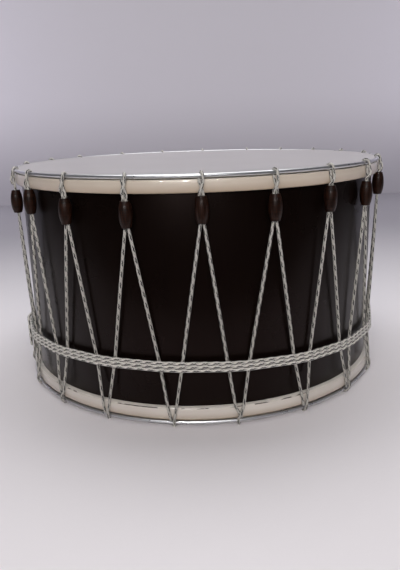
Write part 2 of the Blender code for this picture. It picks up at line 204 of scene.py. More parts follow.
# %% Shell lacquer
lacquer, shader = new_finish(
    "dark_satin_lacquer", Base_Color=rgb("#0b0706"), Roughness=0.28, IOR=1.45,
    Specular_Tint=(0.26, 0.19, 0.18, 1),
)
coords = add(lacquer, "TexCoord", output="Object")
upright = add(lacquer, "Mapping", {"Vector": coords, "Scale": (420, 420, 18)})
grain = add(lacquer, "TexNoise", {"Vector": upright, "Scale": 1.0, "Detail": 3.0})
smudge = add(lacquer, "TexNoise", {"Vector": coords, "Scale": 14.0, "Detail": 4.0})
tint = add(
    lacquer, "Mix", {SHARE: grain, FIRST: rgb("#080403"), SECOND: rgb("#0f0806")},
    data_type="RGBA",
)
up = add(lacquer, "SeparateXYZ", {0: coords}, output="Z")
between_hoops = add(
    lacquer, "Math",
    {0: up, 1: (UPPER_EDGE + LOWER_EDGE) / 2, 2: (UPPER_EDGE - LOWER_EDGE) / 2},
    operation="COMPARE",
)
edged = add(
    lacquer, "Mix", {SHARE: between_hoops, FIRST: rgb("#c2b49e"), SECOND: tint},
    data_type="RGBA",
)
link(lacquer, edged, shader, "Base Color")
rough = add(
    lacquer, "MapRange",
    {"Value": smudge, "From Min": 0.3, "From Max": 0.7, "To Min": 0.25, "To Max": 0.34},
)
link(lacquer, rough, shader, "Roughness")
bump = add(lacquer, "Bump", {"Height": grain, "Strength": 0.25, "Distance": 0.00004})
link(lacquer, bump, shader, "Normal")
print("made", lacquer.name)

# %% [markdown]
# ## Small helpers for modelling by hand
# The shell and the hoops start as a flat rectangle, the cut through their wall. Its corners are
# rounded, and it is spun once round the drum's axis. The points are picked by their place.

# %% Picking helpers
def select_only(*pieces):
    """Selects these pieces and nothing else. The first one becomes the active one."""
    bpy.ops.object.select_all(action="DESELECT")
    for piece in pieces:
        piece.select_set(True)
    bpy.context.view_layer.objects.active = pieces[0]


def begin_edit(piece):
    select_only(piece)
    bpy.ops.object.mode_set(mode="EDIT")
    bpy.ops.mesh.select_mode(type="VERT")
    bpy.ops.mesh.select_all(action="DESELECT")


def pick(piece, test):
    """Selects the points whose place passes the test."""
    shape = bmesh.from_edit_mesh(piece.data)
    for point in shape.verts:
        point.select_set(bool(test(point.co)))
    shape.select_flush_mode()
    bmesh.update_edit_mesh(piece.data)


def near(measure, wanted):
    """True for the same place, to a hundredth of a millimetre."""
    return abs(measure - wanted) < 1e-5


def end_edit(piece, smooth_to=35):
    bpy.ops.object.mode_set(mode="OBJECT")
    bpy.ops.object.shade_smooth_by_angle(angle=math.radians(smooth_to))
    return piece


# %% Turning helpers
def wall_section(name, inner, outer, low, high):
    """A rectangle that stands in the XZ plane."""
    bpy.ops.object.select_all(action="DESELECT")
    middle = ((inner + outer) / 2, 0, (low + high) / 2)
    bpy.ops.mesh.primitive_plane_add(size=1, location=middle, rotation=(math.pi / 2, 0, 0))
    piece = bpy.context.object
    piece.name = piece.data.name = name
    piece.scale = (outer - inner, high - low, 1)
    bpy.ops.object.transform_apply(location=True, rotation=True, scale=True)
    return piece


def round_off(piece, test, radius, segments):
    begin_edit(piece)
    pick(piece, test)
    bpy.ops.mesh.bevel(offset=radius, segments=segments, affect="VERTICES")
    bpy.ops.object.mode_set(mode="OBJECT")


def spin_round(piece, steps=240):
    """Turns the outline once round the drum's axis and closes the seam."""
    begin_edit(piece)
    bpy.ops.mesh.select_all(action="SELECT")
    bpy.ops.mesh.delete(type="ONLY_FACE")
    bpy.ops.mesh.select_all(action="SELECT")
    bpy.ops.mesh.spin(steps=steps, angle=math.tau, center=(0, 0, 0), axis=(0, 0, 1))
    bpy.ops.mesh.select_all(action="SELECT")
    bpy.ops.mesh.remove_doubles(threshold=1e-6)
    bpy.ops.mesh.normals_make_consistent(inside=False)
    return end_edit(piece)


# %% Finishing helper
def dress(piece, finish, slot, body, *nodes):
    """Gives a piece its material, the body it rides on and the solids it stands for. The slot is
    not used.
    """
    piece.data.materials.clear()
    piece.data.materials.append(finish)
    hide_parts(*nodes)
    if body:
        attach(piece, body)
    return piece


# %% [markdown]
# ## Shell
# The wall is 7 mm thick. Both ends are cut to a bearing edge: the outside comes up square and
# the inside is cut back at 45 degrees, so that the film rests on a narrow crest. A cylinder with
# a thickness would give the wall too, but its edges are easier to cut on the flat rectangle.

# %% Shell
SHELL_WALL, INSIDE_CUT, OUTSIDE_ROUND = 0.007, 0.0025, 0.0008
low, high = span("shell")
mid_wall = SHELL_RADIUS - SHELL_WALL / 2
shell = wall_section("drum_shell", SHELL_RADIUS - SHELL_WALL, SHELL_RADIUS, low, high)
round_off(shell, lambda p: p.x < mid_wall, INSIDE_CUT, 1)
round_off(shell, lambda p: p.x > mid_wall, OUTSIDE_ROUND, 3)
spin_round(shell)
dress(shell, lacquer, "dark_lacquer", "drum", "shell")
print("shell", len(shell.data.polygons), "faces")

# %% [markdown]
# ## Ivory lacquer
# The hoops are beech strips, bent and sprayed with a thick ivory gloss. The lacquer is warm and
# slightly cloudy, in clouds about 45 mm across. Its colour carries painted light and shade: the
# flat tops are painted paler, the faces that look down darker and browner, and the lower hoop a
# little darker and cooler than the upper one. Along that hoop's upper edge it has chipped in dark
# dashes about 20 mm long, where the drum has been set down and dragged. The spray leaves an orange
# peel of 4 mm ripples.

# %% Ivory lacquer
ivory, shader = new_finish(
    "ivory_gloss_lacquer", Base_Color=rgb("#c6baad"), Roughness=0.3, IOR=1.5, Coat_Weight=0.7,
    Coat_Roughness=0.03,
)
coords = add(ivory, "TexCoord", output="Object")
up = add(ivory, "SeparateXYZ", {0: coords}, output="Z")
facing = add(ivory, "NewGeometry", output="Normal")
facing_up = add(ivory, "SeparateXYZ", {0: facing}, output="Z")
cloud = add(ivory, "TexNoise", {"Vector": coords, "Scale": 22.0, "Detail": 3.0})
clean = add(
    ivory, "Mix", {SHARE: cloud, FIRST: rgb("#cdc1b4"), SECOND: rgb("#d8cec3")},
    data_type="RGBA",
)
# Painted shade: faces that look down are painted darker and browner.
shaded = add(ivory, "MapRange", {"Value": facing_up, "From Min": -0.3, "From Max": 0.05})
painted_shade_below = add(ivory, "Mix", {SHARE: shaded, FIRST: rgb("#b5a18c"), SECOND: clean}, data_type="RGBA")
# Painted shade: the lower hoop, low on the drum, is painted a little darker and cooler.
high_up = add(ivory, "MapRange", {"Value": up, "From Min": 0.1, "From Max": 0.2})
dust_and_low_shade = add(
    ivory, "Mix", {SHARE: high_up, FIRST: rgb("#f0f5fc"), SECOND: rgb("#ffffff")},
    data_type="RGBA",
)
lacquered = add(
    ivory, "Mix", {SHARE: 1.0, FIRST: painted_shade_below, SECOND: dust_and_low_shade}, data_type="RGBA",
    blend_type="MULTIPLY",
)
# Painted light: faces that look straight up are painted paler.
flat_top = add(ivory, "Math", {0: facing_up, 1: 0.8}, operation="GREATER_THAN")
painted_top_light = add(
    ivory, "Mix", {SHARE: flat_top, FIRST: lacquered, SECOND: rgb("#f4efe9")}, data_type="RGBA"
)
print("clean, aged and dusty ivory for", ivory.name)

# %% Chips and orange peel
CHIP_LINE, CHIP_HALF_HEIGHT = LOWER_EDGE - 0.0005, 0.0004
at_edge = add(ivory, "Math", {0: up, 1: CHIP_LINE, 2: CHIP_HALF_HEIGHT}, operation="COMPARE")
stretched = add(ivory, "Mapping", {"Vector": coords, "Scale": (50, 50, 400)})
patches = add(ivory, "TexNoise", {"Vector": stretched, "Scale": 1.0, "Detail": 2.0})
chipped = add(ivory, "Math", {0: patches, 1: 0.6}, operation="GREATER_THAN")
chip = add(ivory, "Math", {0: at_edge, 1: chipped}, operation="MULTIPLY")
base = add(ivory, "Mix", {SHARE: chip, FIRST: painted_top_light, SECOND: rgb("#3a2c24")}, data_type="RGBA")
link(ivory, base, shader, "Base Color")
orange_peel = add(ivory, "TexNoise", {"Vector": coords, "Scale": 260.0, "Detail": 1.0})
bump = add(ivory, "Bump", {"Height": orange_peel, "Strength": 0.3, "Distance": 0.0001})
link(ivory, bump, shader, "Normal")
print("made", ivory.name)

# %% [markdown]
# ## Hoops
# Each hoop is a strip 15 mm tall and 7.9 mm thick, glued round the shell's end. Its face bulges
# by 0.9 mm, which spreads the lamps' reflections over its height. The line of the face is cut
# into ten and moved in towards its ends, the corners are rounded, and a spin closes the wall.

# %% Hoops
CROWN, CROWN_PARTS, CORNER_ROUND, GLUE = 0.0009, 10, 0.0013, 0.0001
MID_HOOP = (SHELL_RADIUS + HOOP_OUTER) / 2
for name in ("upper_hoop", "lower_hoop"):
    low, high = span(name)
    hoop = wall_section("ivory_" + name, SHELL_RADIUS + GLUE, HOOP_OUTER, low, high)
    begin_edit(hoop)
    pick(hoop, lambda p: p.x > MID_HOOP)
    bpy.ops.mesh.subdivide(number_cuts=CROWN_PARTS - 1)
    for k in range(CROWN_PARTS + 1):
        z, share = low + HOOP_HEIGHT * k / CROWN_PARTS, 2 * k / CROWN_PARTS - 1
        pick(hoop, lambda p: p.x > MID_HOOP and near(p.z, z))
        bpy.ops.transform.translate(value=(-CROWN * share**2, 0, 0))
    bpy.ops.object.mode_set(mode="OBJECT")
    round_off(
        hoop, lambda p: p.x > MID_HOOP and (near(p.z, low) or near(p.z, high)), CORNER_ROUND, 4
    )
    spin_round(hoop)
    dress(hoop, ivory, "ivory_lacquer", "drum", name)
    print(hoop.name, len(hoop.data.polygons), "faces")

# %% [markdown]
# ## Aluminium
# The rings are drawn aluminium rod. Drawing leaves fine lines along the rod, 0.25 mm apart, and
# handling dulls it in patches of about 17 mm, so the highlight is bright but never mirror-sharp.

# %% Aluminium
aluminium, shader = new_finish(
    "drawn_aluminium", Base_Color=rgb("#cfd0d2"), Metallic=1.0, Roughness=0.3
)
coords = add(aluminium, "TexCoord", output="Object")
dull = add(aluminium, "TexNoise", {"Vector": coords, "Scale": 60.0, "Detail": 3.0})
rough = add(
    aluminium, "MapRange",
    {"Value": dull, "From Min": 0.3, "From Max": 0.7, "To Min": 0.26, "To Max": 0.34},
)
link(aluminium, rough, shader, "Roughness")
lines = add(aluminium, "Mapping", {"Vector": coords, "Scale": (60, 60, 4000)})
drawn = add(aluminium, "TexNoise", {"Vector": lines, "Scale": 1.0, "Detail": 1.0})
bump = add(aluminium, "Bump", {"Height": drawn, "Strength": 0.1, "Distance": 0.00001})
link(aluminium, bump, shader, "Normal")
print("made", aluminium.name)

# %% [markdown]
# ## Metal rings
# The rod is bent to a ring and its two ends meet in a butt joint, a fine groove that is turned to
# the back of the drum. A circle could be swept along a curve, but a torus gives the same rod at
# once, and the joint is one ring of its points drawn in.

# %% Rings
RING_STEPS, JOINT_STEP, JOINT_SHRINK = 320, 76, 0.9
joint = math.tau / RING_STEPS * JOINT_STEP
for name, end in (("upper_ring", UPPER), ("lower_ring", LOWER)):
    bpy.ops.object.select_all(action="DESELECT")
    z = height(end, RING_REACH)
    bpy.ops.mesh.primitive_torus_add(
        location=(0, 0, z), major_radius=RING_CENTRE, minor_radius=RING_RADIUS,
        major_segments=RING_STEPS, minor_segments=20,
    )
    ring = bpy.context.object
    ring.name = ring.data.name = "rod_" + name
    bpy.ops.object.transform_apply(location=True)
    begin_edit(ring)
    pick(ring, lambda p: near(math.atan2(p.y, p.x), joint))
    bpy.ops.transform.resize(
        value=(JOINT_SHRINK,) * 3,
        center_override=(RING_CENTRE * math.cos(joint), RING_CENTRE * math.sin(joint), z),
    )
    end_edit(ring, 60)
    dress(ring, aluminium, "aluminium_rod", "drum", name)
    print(ring.name, len(ring.data.polygons), "faces")

# %% [markdown]
# ## Cord routes
# One cord laces the whole drum. It comes up out of a bead, over the hoop, round the metal ring,
# down past the film and out through the gap under the ring, then back into the bead. At the
# lower head it does the same between two beads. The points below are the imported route's own.
# A station gives how far beyond the hoop's inner edge the cord is, and the share of its way
# sideways that it has made by then.

# %% Stations of a turn
WRAP_SHARE = 0.85  # the share of its way back that the cord makes while it is round the rod
WRAP_DEGREES = 45
WRAP_RADII = (0.0016, 0.0016, 0.0016, 0.0013, 0.001)
WRAP_OUT = 1 / math.cos(math.radians(WRAP_DEGREES / 2))  # corners stand out past the round
UPPER_STATIONS = (
    (0, 0), (0.0012, 0.01), (0.0025, 0.12), (0.0055, 0.45), (0.009, 0.77), (0.0135, 1),
)
LOWER_STATIONS = ((0, 0), (0.0055, 0.41), (0.008, 0.59), (0.0105, 0.78), (0.0135, 1))
TIE_STATIONS = ((0, 0), (0.0135, 1))
CORD_GAP = 0.00105  # between two strands that cross on a hoop
MID_GAP = 0.0007  # the middle of the gap between hoop and ring, from the hoop
print("stations of a turn:", len(UPPER_STATIONS), "above and", len(LOWER_STATIONS), "below")

# %% A turn round a ring
def loop_round_ring(end, angle, front, back, stations):
    """One turn of the cord round a ring: points with the cord's half thickness there.

    The front strand moves sideways from front[0], at the hoop's inner edge, to front[1], at the
    ring. The back strand does the same between back[0] and back[1], the other way along.
    """

    def at(across, out, reach, thick):
        return (*place(angle, across, out, height(end, reach)), thick)

    over_ring = RING_CENTRE + (RING_RADIUS + PRESSED_RADIUS + GAP / 2) * WRAP_OUT
    last, route = stations[-1][0], []
    for reach, share in stations:
        across = front[0] + (front[1] - front[0]) * share
        apart = across - (back[0] + (back[1] - back[0]) * reach / last)
        crossing = (2 * PRESSED_RADIUS + CORD_GAP) ** 2 - apart**2
        out = ON_HOOP + (math.sqrt(max(0, crossing)) if share else 0)
        if share > 0.5:
            out = max(out, over_ring + PRESSED_RADIUS / 2)
        route.append(at(across, out, reach, PRESSED_RADIUS))
    for i, thick in enumerate(WRAP_RADII):
        off, turned = (RING_RADIUS + thick + GAP / 2) * WRAP_OUT, math.radians(WRAP_DEGREES * i)
        across = front[1] + (back[1] - front[1]) * WRAP_SHARE * i / len(WRAP_RADII)
        out, reach = RING_CENTRE + off * math.cos(turned), RING_REACH + off * math.sin(turned)
        route.append(at(across, out, reach, thick))
    across = front[1] + (back[1] - front[1]) * WRAP_SHARE
    return [
        *route,
        at(across, RING_CENTRE - RING_RADIUS + GAP, HOOP_HEIGHT + MID_GAP, IN_GAP),
        at(back[1], HOOP_OUTER + CORD_RADIUS, HOOP_HEIGHT + MID_GAP, IN_GAP),
        at(back[1], ON_HOOP, last, PRESSED_RADIUS),
        at(back[0], ON_HOOP, 0, PRESSED_RADIUS),
    ]


print("a loop has", len(loop_round_ring(UPPER, 0, (0, 0), (0, 0), UPPER_STATIONS)), "points")

# %% [markdown]
# ## Strands between the hoops
# From each bead two strands run down to two Vs. The waist cord is drawn tight round them all, so
# each strand bends there: it runs straight from the hoop to the waist cord, close to the shell.

# %% Sizes of the strands
HALF_APART = 0.0019  # half the distance between a bead's two strands
UPPER_LEAN = 0.002  # how far a strand leans sideways on its way over the upper hoop
V_HALF = 0.0048  # half the distance between a V's two strands at the lower hoop's inner edge
LOWER_LEANS = [
    lean_mm / 1000
    for lean_mm in (
        1.4, 1.6, 1.2, 2.8, 2.1, -2.2, 1.2, 1.0, 1.6, 2.2,
        -1.2, 1.8, 1.1, 2.4, -2.4, 1.5, 1.9, -1.2, 2.6,
    )
]
TIE_FOOT, TIE_RING, TAIL_FOOT, TAIL_RING = 0.007, 0.0085, 0.0026, 0.0042
AT_WAIST = 0.2584  # from the drum's axis to a strand where the waist cord holds it
WAIST_HEIGHT, WAIST_SWING, WAIST_TURN = 0.0749, 0.0055, 18
SQUEEZE_POWER = 8  # a strand stays round until it is close under its bead


def waist_height(angle):
    """The middle of the waist cord, which rises and falls twice on its way round."""
    return WAIST_HEIGHT + WAIST_SWING * math.cos(math.radians(2 * (angle + WAIST_TURN)))


def strand_radius(z, waist):
    hoop = UPPER_EDGE if z > waist else LOWER_EDGE
    return AT_WAIST + (ON_HOOP - AT_WAIST) / (hoop - waist) * (z - waist)


print("the waist cord is", round(waist_height(0), 4), "m up at the front")

# %% Strands
def in_bead(i, sense):
    """The angle of one of the two strands in bead i: sense is -1 for the left, 1 for the right."""
    return BEAD_ANGLES[i] + sense * math.degrees(HALF_APART / HOOP_OUTER)


def strand_line(i, sense):
    """Where a strand passes the waist cord, and where it enters bead i."""
    foot = TIE_FOOT if (i, sense) in ((0, -1), (len(BEADS) - 1, 1)) else V_HALF
    top = (in_bead(i, sense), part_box(BEADS[i])[0].z)
    v = v_angle(i if sense > 0 else i - 1)
    low = (v - sense * math.degrees(foot / HOOP_OUTER), LOWER_EDGE)
    angle = top[0]
    for _ in range(3):
        waist = waist_height(angle)
        angle = low[0] + (top[0] - low[0]) * (waist - low[1]) / (top[1] - low[1])
    return (angle, waist), top


def along_strand(i, sense, share):
    """A point of a strand: share 0 is at the waist cord and 1 under the bead."""
    (angle, waist), top = strand_line(i, sense)
    z = waist + (top[1] - waist) * share
    thick = CORD_RADIUS + (PRESSED_RADIUS - CORD_RADIUS) * max(0, share) ** SQUEEZE_POWER
    return (*place(angle + (top[0] - angle) * share, 0, strand_radius(z, waist), z), thick)


print("strand 1 passes the waist cord at", [round(x, 3) for x in strand_line(0, 1)[0]])

# %% [markdown]
# ## A tube along a route
# A cord could be a curve with a round bevel. Here the tube is built point by point, because its
# UV map then runs in metres along the cord and once round it, so the braid keeps its real size.
# Each corner of a route becomes a short curve that touches both of its sides, so the cord lies
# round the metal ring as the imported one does. It is flatter where it is pressed.

# %% Rounding a route
BEND_REACH, BEND_STEPS = 0.003, 8


def rounded(route, step):
    """Rounds a route's corners and cuts it into even steps. Also gives how far along each is."""
    corners = [np.array(corner, float) for corner in route]
    dense = [corners[0]]
    for a, b in zip(corners, corners[1:]):
        length = np.linalg.norm((b - a)[:3])
        if length > 3 * BEND_REACH:
            dense += [a + (b - a) * BEND_REACH / length, b - (b - a) * BEND_REACH / length]
        dense.append(b)
    middles = [(a + b) / 2 for a, b in zip(dense, dense[1:])]
    line = [dense[0]]
    for before, corner, after in zip(middles, dense[1:], middles[1:]):
        for t in np.linspace(0, 1, BEND_STEPS, endpoint=False):
            line.append((1 - t) ** 2 * before + 2 * t * (1 - t) * corner + t * t * after)
    line = np.array([*line, middles[-1], dense[-1]])
    steps = np.linalg.norm(np.diff(line[:, :3], axis=0), axis=1)
    along = np.concatenate([[0], np.cumsum(steps)])
    even = np.linspace(0, along[-1], max(3, round(along[-1] / step) + 1))
    return np.stack([np.interp(even, along, line[:, k]) for k in range(4)], axis=1), even


print("a corner becomes", BEND_STEPS, "short steps")

# %% The skin of a tube
CORD_SIDES = 12
TURNS = np.arange(CORD_SIDES) * math.tau / CORD_SIDES
FLAT_HALF = 0.00175  # half the width of the cord where it is pressed flat


def skin(centres, halves):
    """The points round a cord's line. Each ring of them starts on the side away from the drum."""
    forward = np.gradient(centres, axis=0)
    forward /= np.linalg.norm(forward, axis=1)[:, None]
    out = np.array((centres[0][0], centres[0][1], 0))
    points = []
    for centre, ahead, half in zip(centres, forward, halves):
        out = out - ahead * out.dot(ahead)
        out /= np.linalg.norm(out)
        across = np.cross(ahead, out)
        wide = max(half, FLAT_HALF) if IN_GAP / 2 < half < CORD_RADIUS else half
        for turn in TURNS:
            points.append(centre + out * half * math.cos(turn) + across * wide * math.sin(turn))
    return points


print("a cord has", CORD_SIDES, "sides")

# %% Tube
MELTED = (0.45, 0.85)  # the shares of its thickness that a melted end keeps, from the tip inwards
PATTERN_SHIFT = 0.0371  # metres by which the braid moves on from one route to the next


def tube(name, routes, step, sealed=False):
    """A cord as a closed tube along each route. The ends of a sealed one are melted small."""
    points, faces, uvs, total = [], [], [], 0
    for number, route in enumerate(routes):
        line, even = rounded(route, step)
        halves = line[:, 3].copy()
        if sealed:
            halves[[0, -1]] *= MELTED[0]
            halves[[1, -2]] *= MELTED[1]
        start, offset = len(points), number * PATTERN_SHIFT
        points += skin(line[:, :3], halves)
        for j in range(len(line) - 1):
            for k in range(CORD_SIDES):
                a = start + j * CORD_SIDES + k
                b = start + j * CORD_SIDES + (k + 1) % CORD_SIDES
                faces.append((a, b, b + CORD_SIDES, a + CORD_SIDES))
                u0, u1 = even[j] + offset, even[j + 1] + offset
                v0, v1 = k / CORD_SIDES, (k + 1) / CORD_SIDES
                uvs += [(u0, v0), (u0, v1), (u1, v1), (u1, v0)]
        last = len(points) - CORD_SIDES
        faces.append(tuple(start + k for k in reversed(range(CORD_SIDES))))
        faces.append(tuple(last + k for k in range(CORD_SIDES)))
        uvs += [(offset, 0)] * CORD_SIDES + [(even[-1] + offset, 0)] * CORD_SIDES
        total += even[-1]
    points = np.array(points)
    points[:, 2] = np.maximum(points[:, 2], 0)  # the lowest loops are pressed flat by the ground
    mesh = bpy.data.meshes.new(name)
    mesh.from_pydata(points.tolist(), [], faces)
    layer = mesh.uv_layers.new(name="along_and_round")
    layer.data.foreach_set("uv", np.array(uvs).ravel())
    mesh.shade_smooth()
    piece = bpy.data.objects.new(name, mesh)
    bpy.context.scene.collection.objects.link(piece)
    return piece, total


# %% [markdown]
# ## Braided cord
# The cord is a 16-plait polyester braid round a core, off-white with two dark tracer yarns. Eight
# yarns wind each way and go over two, under two. A yarn goes once round in 27 mm, and the two
# tracers lie opposite each other, so one comes to the front in every 13.5 mm as a short slanting
# dash. Each plait is 3.4 mm long and painted darker towards its edges, as shade between the yarns.
# The lacing is painted greyer lower down, below the beads, as painted shade, and both cords have
# dusty stretches about 33 mm long.
# The braid could be modelled yarn by yarn, but at this size a pattern on the UV map looks the
# same: two sets of slanting stripes, and for each small square the one that lies on top.

# %% Braided cord
YARNS, PLAITS_PER_METRE, TRACER_EVERY = 8.0, 296.0, 4.0


def braided(name, pale, dust_and_low_shade, low_shade_colour, tracer, tracer_width):
    finish, shader = new_finish(name, Base_Color=rgb(pale), Roughness=0.82, Sheen_Weight=0.25)
    uv = add(finish, "TexCoord", output="UV")
    along = add(finish, "SeparateXYZ", {0: uv}, output="X")
    round_it = add(finish, "SeparateXYZ", {0: uv}, output="Y")
    plaits = add(finish, "Math", {0: along, 1: PLAITS_PER_METRE}, operation="MULTIPLY")
    yarns = add(finish, "Math", {0: round_it, 1: YARNS}, operation="MULTIPLY")
    left = add(finish, "Math", {0: yarns, 1: plaits}, operation="ADD")
    right = add(finish, "Math", {0: yarns, 1: plaits}, operation="SUBTRACT")
    left_yarn = add(finish, "Math", {0: left}, operation="FLOOR")
    right_yarn = add(finish, "Math", {0: right}, operation="FLOOR")
    crossing = add(finish, "Math", {0: left_yarn, 1: right_yarn}, operation="ADD")
    of_four = add(finish, "Math", {0: crossing, 1: 4.0}, operation="FLOORED_MODULO")
    left_on_top = add(finish, "Math", {0: of_four, 1: 1.5}, operation="LESS_THAN")
    humps = []
    for way in (left, right):
        share = add(finish, "Math", {0: way}, operation="FRACT")
        half_turn = add(finish, "Math", {0: share, 1: math.pi}, operation="MULTIPLY")
        humps.append(add(finish, "Math", {0: half_turn}, operation="SINE"))
    hump = add(finish, "Mix", {0: left_on_top, 2: humps[1], 3: humps[0]}, data_type="FLOAT")
    in_tracer = add(finish, "Math", {0: left, 1: TRACER_EVERY}, operation="FLOORED_MODULO")
    is_tracer = add(finish, "Math", {0: in_tracer, 1: tracer_width}, operation="LESS_THAN")
    fleck = add(finish, "Math", {0: is_tracer, 1: left_on_top}, operation="MULTIPLY")
    dust = add(finish, "TexNoise", {"Vector": uv, "Scale": 30.0, "Detail": 2.0})
    yarn = add(
        finish, "Mix", {SHARE: dust, FIRST: rgb(dust_and_low_shade), SECOND: rgb(pale)}, data_type="RGBA"
    )
    # Painted shade: the cord is painted darker lower down the drum.
    coords = add(finish, "TexCoord", output="Object")
    up = add(finish, "SeparateXYZ", {0: coords}, output="Z")
    high_up = add(finish, "MapRange", {"Value": up, "From Min": 0.12, "From Max": 0.28})
    painted_low_shade = add(
        finish, "Mix", {SHARE: high_up, FIRST: rgb(low_shade_colour), SECOND: rgb("#ffffff")},
        data_type="RGBA",
    )
    shade = add(finish, "MapRange", {"Value": hump, "To Min": 0.48, "To Max": 1.06})
    # Painted shade: the yarn is darkened low on the drum and at each plait's edges.
    for darker in (painted_low_shade, shade):
        yarn = add(
            finish, "Mix", {SHARE: 1.0, FIRST: yarn, SECOND: darker}, data_type="RGBA",
            blend_type="MULTIPLY",
        )
    colour = add(
        finish, "Mix", {SHARE: fleck, FIRST: yarn, SECOND: rgb(tracer)}, data_type="RGBA"
    )
    link(finish, colour, shader, "Base Color")
    bump = add(finish, "Bump", {"Height": hump, "Strength": 0.6, "Distance": 0.00025})
    link(finish, bump, shader, "Normal")
    return finish


lace = braided("braided_lacing_cord", "#d7d6d3", "#c0bdb8", "#dedddb", "#101214", 1.8)
waist = braided("braided_waist_cord", "#eae8e4", "#d3d0cb", "#ffffff", "#0c0a0a", 2.4)
print("made", lace.name, "and", waist.name)

# %% [markdown]
# ## The lacing's Vs
# Below the waist cord nothing moves when a bead slides, so the nineteen Vs and the cord's two
# ends are one piece that rides on the drum. Each V runs from one waist crossing round the lower
# ring to the next. The ends go round the ring too and lie up against the shell.

# %% Lower Vs
TAIL_LENGTH = 0.020
FIRST_BEAD, LAST_BEAD = 0, len(BEADS) - 1


def below_waist(i, sense):
    """The start of a V: from 4 mm above the waist crossing down to it."""
    return [along_strand(i, sense, 0.03), along_strand(i, sense, 0)]


def tail_end(side):
    radius = SHELL_RADIUS + GAP + CORD_RADIUS
    return (*place(TIE_V_ANGLE, side, radius, height(LOWER, -TAIL_LENGTH)), CORD_RADIUS)


def tail_loop(sense):
    """The turn round the ring beside the tie, from the foot of the last strand to the tail."""
    strand, tail = (sense * TIE_FOOT, sense * TIE_RING), (sense * TAIL_FOOT, sense * TAIL_RING)
    front, back = (strand, tail) if sense > 0 else (tail, strand)
    return loop_round_ring(LOWER, TIE_V_ANGLE, front, back, TIE_STATIONS)[::-1]


vs = []
for i, lean in enumerate(LOWER_LEANS):
    turn = loop_round_ring(LOWER, V_ANGLES[i], (V_HALF, lean), (-V_HALF, -lean), LOWER_STATIONS)
    vs.append(below_waist(i, 1) + turn[::-1] + below_waist(i + 1, -1)[::-1])
vs.append([tail_end(TAIL_FOOT), *tail_loop(1), *below_waist(FIRST_BEAD, -1)[::-1]])
vs.append([*below_waist(LAST_BEAD, 1), *tail_loop(-1), tail_end(-TAIL_FOOT)])
lacing_vs, v_length = tube("lacing_vs", vs, step=0.0012)
dress(lacing_vs, lace, "braided_cord", "drum", "lacing_cord")
print("Vs:", round(v_length, 3), "m of cord")

# %% [markdown]
# ## Strands and loops at each bead
# Two pieces per bead: the strands below it, from the waist cord up into the bead's mouth, and the
# loop above it, from inside the bead round the upper ring and back. Neither rides on a body.

# %% Strands and loops
STRAND_SHARES = (0.015, 0.3, 0.6, 0.8, 0.9, 0.96, 1)
STRANDS_IN, LOOP_IN = 0.002, 0.001  # how far up the bore each one's ends are, from the mouth


def bore_point(i, sense, up):
    """A point of a strand inside bead i, a little way up its bore."""
    angle, z = in_bead(i, sense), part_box(BEADS[i])[0].z + up
    return (*place(angle, 0, strand_radius(z, waist_height(angle)), z), PRESSED_RADIUS)


strand_length = loop_length = 0
for i, bead in enumerate(BEADS):
    low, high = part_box(bead)
    mouth = (low + high) / 2
    mouth.z = low.z
    routes = []
    for sense in (-1, 1):
        route = [along_strand(i, sense, share) for share in STRAND_SHARES]
        routes.append([*route, bore_point(i, sense, STRANDS_IN)])
    strands, length = tube(f"strands_{i + 1:02d}", routes, step=0.002)
    strand_length += length
    dress(strands, lace, "braided_cord", None, "lacing_cord")
    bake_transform(strands)
    front, back = (-HALF_APART, UPPER_LEAN), (HALF_APART, -UPPER_LEAN)
    turn = loop_round_ring(UPPER, BEAD_ANGLES[i], front, back, UPPER_STATIONS)
    whole = [bore_point(i, -1, LOOP_IN), *turn, bore_point(i, 1, LOOP_IN)]
    loop, length = tube(f"loop_{i + 1:02d}", [whole], step=0.001)
    loop_length += length
    dress(loop, lace, "braided_cord", None, "lacing_cord")
    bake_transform(loop)
print("lacing:", round(v_length + strand_length + loop_length, 2), "m of cord")

# %% [markdown]
# ## Waist cord
# A second cord goes three times round the drum, in front of all the strands, and draws them in.
# Its end passes once round the three turns and hangs beside the start. The knot's points are
# given sideways and upwards in cord widths, with how far from the drum's axis each one lies.

# %% The knot
WAIST_PITCH, WAIST_LAPS, TIE_ANGLE = 0.00445, 3, V_ANGLES[0]
CORD_WIDTH = 2 * CORD_RADIUS
BAND = WAIST_LAPS / 2 * WAIST_PITCH / CORD_WIDTH  # half the height of the three turns
ON_BAND = AT_WAIST + CORD_WIDTH + 2 * GAP
IN_FRONT = ON_BAND + CORD_WIDTH + 2 * GAP
BEHIND = ON_BAND - CORD_WIDTH - 4 * GAP
KNOT_START = (
    (-2.0, -9.5, IN_FRONT), (-2.38, -6.0, IN_FRONT), (-2.5, -3.5, IN_FRONT - 0.375 * CORD_WIDTH),
    (-2.0, -BAND - 0.55, ON_BAND + CORD_RADIUS / 2), (-1.0, -BAND - 0.08, ON_BAND),
    (0.75, -BAND - 0.04, ON_BAND),
)
KNOT_END = (
    (-1.5, BAND, ON_BAND), (-0.62, BAND - 0.08, ON_BAND + 0.45 * CORD_WIDTH),
    (-0.25, BAND - 0.75, IN_FRONT), (-0.12, -BAND - 0.45, IN_FRONT),
    (0, -BAND - 1.25, ON_BAND + 0.55 * CORD_WIDTH),
    (0.15, -BAND - 1.5, ON_BAND - 0.45 * CORD_WIDTH),
    (0.35, -BAND - 0.4, BEHIND), (0.8, BAND - 0.5, BEHIND),
    (1.0, BAND + 0.25, ON_BAND - CORD_RADIUS), (1.15, BAND + 0.2, ON_BAND + CORD_RADIUS),
    (1.25, BAND - 0.75, IN_FRONT), (1.3, -BAND - 0.5, IN_FRONT), (1.4, -6.0, IN_FRONT),
    (1.15, -10.5, IN_FRONT),
)


def knot(points):
    middle = waist_height(TIE_ANGLE)
    return [
        (*place(TIE_ANGLE, side * CORD_WIDTH, out, middle + up * CORD_WIDTH), CORD_RADIUS)
        for side, up, out in points
    ]


print("the knot has", len(KNOT_START) + len(KNOT_END), "points")

